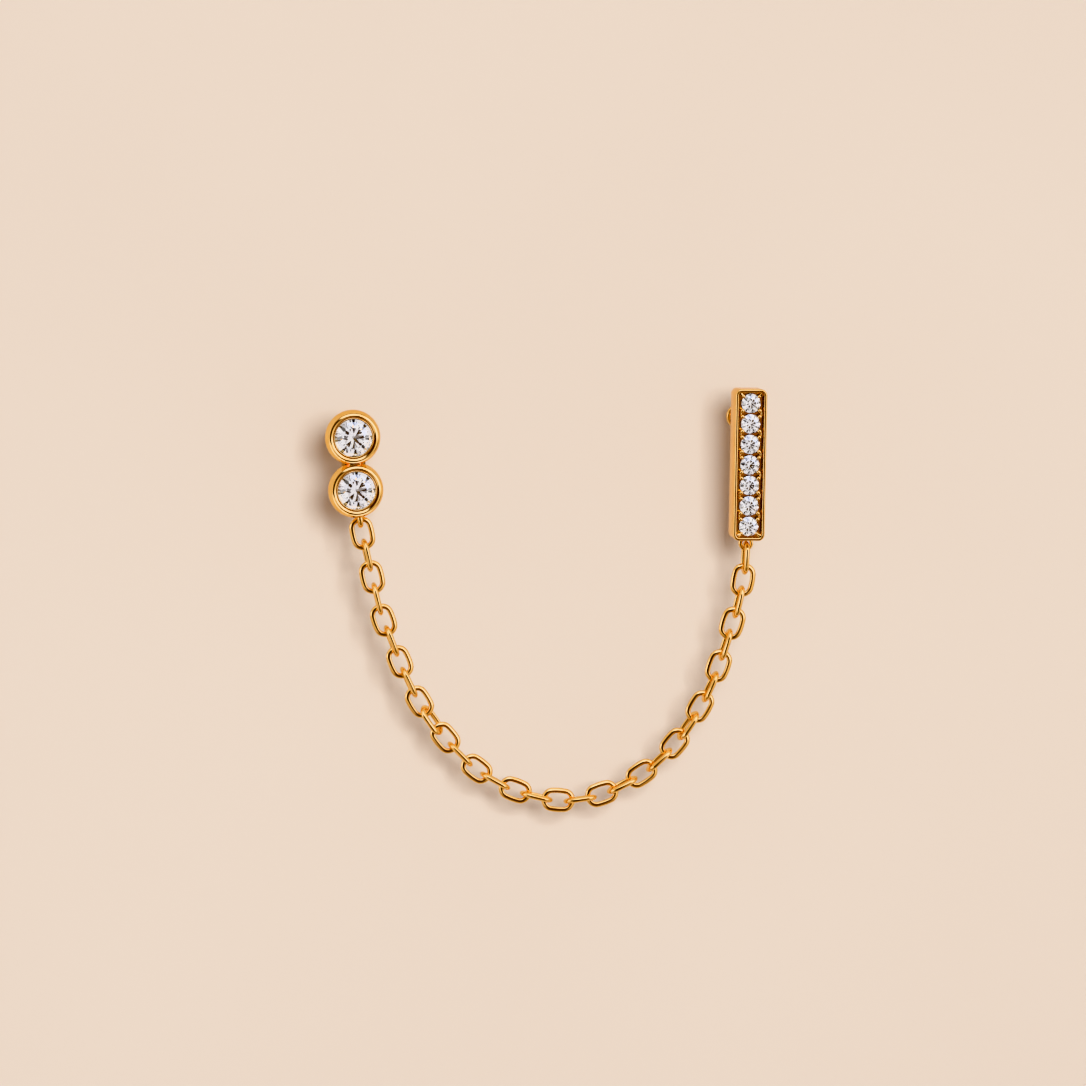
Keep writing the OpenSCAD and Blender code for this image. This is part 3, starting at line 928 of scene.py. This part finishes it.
def studio_world():
    """A tent round the object, with bright panels and dark cards that gold and stones mirror.

    Each kind of ray has its own colours: matt surfaces see one plain tone, gold and stones their own
    patches, and the camera the tone beyond the backdrop.
    """
    world = bpy.data.worlds.new("studio")
    world.use_nodes = True
    nodes, links = world.node_tree.nodes, world.node_tree.links
    coords = nodes.new("ShaderNodeTexCoord")
    path = nodes.new("ShaderNodeLightPath")

    def near(axis, inner, outer):
        """1 within the inner angle of a direction, 0 beyond the outer."""
        dot = nodes.new("ShaderNodeVectorMath")
        dot.operation = "DOT_PRODUCT"
        dot.inputs[1].default_value = axis
        links.new(coords.outputs["Generated"], dot.inputs[0])
        fit = nodes.new("ShaderNodeMapRange")
        fit.interpolation_type = "SMOOTHSTEP"
        fit.inputs["From Min"].default_value = math.cos(math.radians(outer))
        fit.inputs["From Max"].default_value = math.cos(math.radians(inner))
        links.new(dot.outputs["Value"], fit.inputs["Value"])
        return fit.outputs["Result"]

    def mix(factor, a, b):
        node = nodes.new("ShaderNodeMix")
        node.data_type = "RGBA"
        links.new(factor, node.inputs["Factor"])
        for socket, value in ((node.inputs[6], a), (node.inputs[7], b)):
            if isinstance(value, tuple):
                socket.default_value = (*value, 1)
            else:
                links.new(value, socket)
        return node.outputs[2]

    def patched(colour, patches):
        for towards, (inner, outer), patch_colour in patches:
            colour = mix(near(direction(*towards), inner, outer), colour, patch_colour)
        return colour

    colour = mix(path.outputs["Is Glossy Ray"], AMBIENT, patched(GOLD_TENT, GOLD_PATCHES))
    colour = mix(path.outputs["Is Transmission Ray"], colour, patched(STONE_TENT, STONE_PATCHES))
    colour = mix(path.outputs["Is Camera Ray"], colour, BEYOND_BACKDROP)
    links.new(colour, nodes["Background"].inputs["Color"])
    bpy.context.scene.world = world


def photo_camera():
    """Long lens at the photograph's angle, aimed at the point in the middle of the picture."""
    back = direction(VIEW_TURN, VIEW_RISE)
    start_clean()
    bpy.ops.object.camera_add(location=VIEW_AIM + back * CAMERA_DISTANCE)
    camera = bpy.context.object
    camera.rotation_euler = (-back).to_track_quat("-Z", "Y").to_euler()
    camera.data.sensor_width = SENSOR
    camera.data.lens = SENSOR * CAMERA_DISTANCE / (PICTURE * PIXEL)
    camera.data.clip_start = 0.01
    camera.data.clip_end = 10
    bpy.context.scene.camera = camera


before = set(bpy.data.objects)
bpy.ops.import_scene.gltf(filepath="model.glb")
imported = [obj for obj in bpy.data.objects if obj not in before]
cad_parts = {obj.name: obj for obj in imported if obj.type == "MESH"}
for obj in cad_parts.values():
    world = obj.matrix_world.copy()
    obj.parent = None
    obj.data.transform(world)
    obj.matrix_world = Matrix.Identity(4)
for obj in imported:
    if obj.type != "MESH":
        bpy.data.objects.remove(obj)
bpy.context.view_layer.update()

photo_camera()

polish = hand_polish_group()
gold = gold_material("polished_gold", polish)
stone = stone_material("cut_stone", polish)

# The frame's origin is where the lobe post leaves the double bezel's back.
upper = centre_of("upper_bezel_stone")
lower = centre_of("lower_bezel_stone")
bezel_matrix = stud_matrix(upper, lower)
spacing = (upper - lower).length / MM
post_in_bezel = bezel_matrix.inverted() @ Vector((0, 0, 0)) / MM
setting = double_bezel(bezel_matrix, spacing, post_in_bezel, gold)
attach(setting, ROOT)
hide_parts("double_bezel_setting")

# The bar's post stands where its back is.
bar_stones = [f"bar_stone_{i}" for i in range(1, 8)]
bar_centres = [centre_of(n) for n in bar_stones]
bar_matrix = stud_matrix(bar_centres[0], bar_centres[-1])
bar_heights = [(bar_matrix.inverted() @ p).y / MM for p in bar_centres]
back_low, back_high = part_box("bar_back")
bar_post_place = Vector(((back_low[0] + back_high[0]) / 2, 0, (back_low[2] + back_high[2]) / 2))
bar = bar_body(bar_matrix, bar_heights, bar_matrix.inverted() @ bar_post_place / MM, gold)
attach(bar, ROOT)
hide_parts("bar_setting")

link_pattern = master_link()
for node in sorted(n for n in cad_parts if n.startswith("chain_link_")):
    link = copy_of(link_pattern, node.replace("chain_link", "cable_link"))
    link.data.materials.append(gold)
    place(link, node_axes(node))
    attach(link, ROOT)
    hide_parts(node)
bpy.data.objects.remove(link_pattern)

for node, name in (("lobe_back", "lobe_round_back"), ("bar_back", "bar_round_back")):
    back = round_back(name, node, gold)
    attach(back, ROOT)
    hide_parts(node)

for node in ["upper_bezel_stone", "lower_bezel_stone"] + bar_stones:
    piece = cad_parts[node]
    piece.data.materials.clear()
    piece.data.materials.append(stone)

paper = backdrop_material()
stage_plane("backdrop", BACKDROP_AT, (math.pi / 2 - BACKDROP_LEAN, 0, 0), paper)
floor = stage_plane("floor", FLOOR_AT, (0, 0, 0), paper)
floor.visible_glossy = False
floor.visible_transmission = False

for box in SOFT_BOXES:
    soft_box(*box)
studio_world()
bpy.context.scene.view_settings.view_transform = "Khronos PBR Neutral"
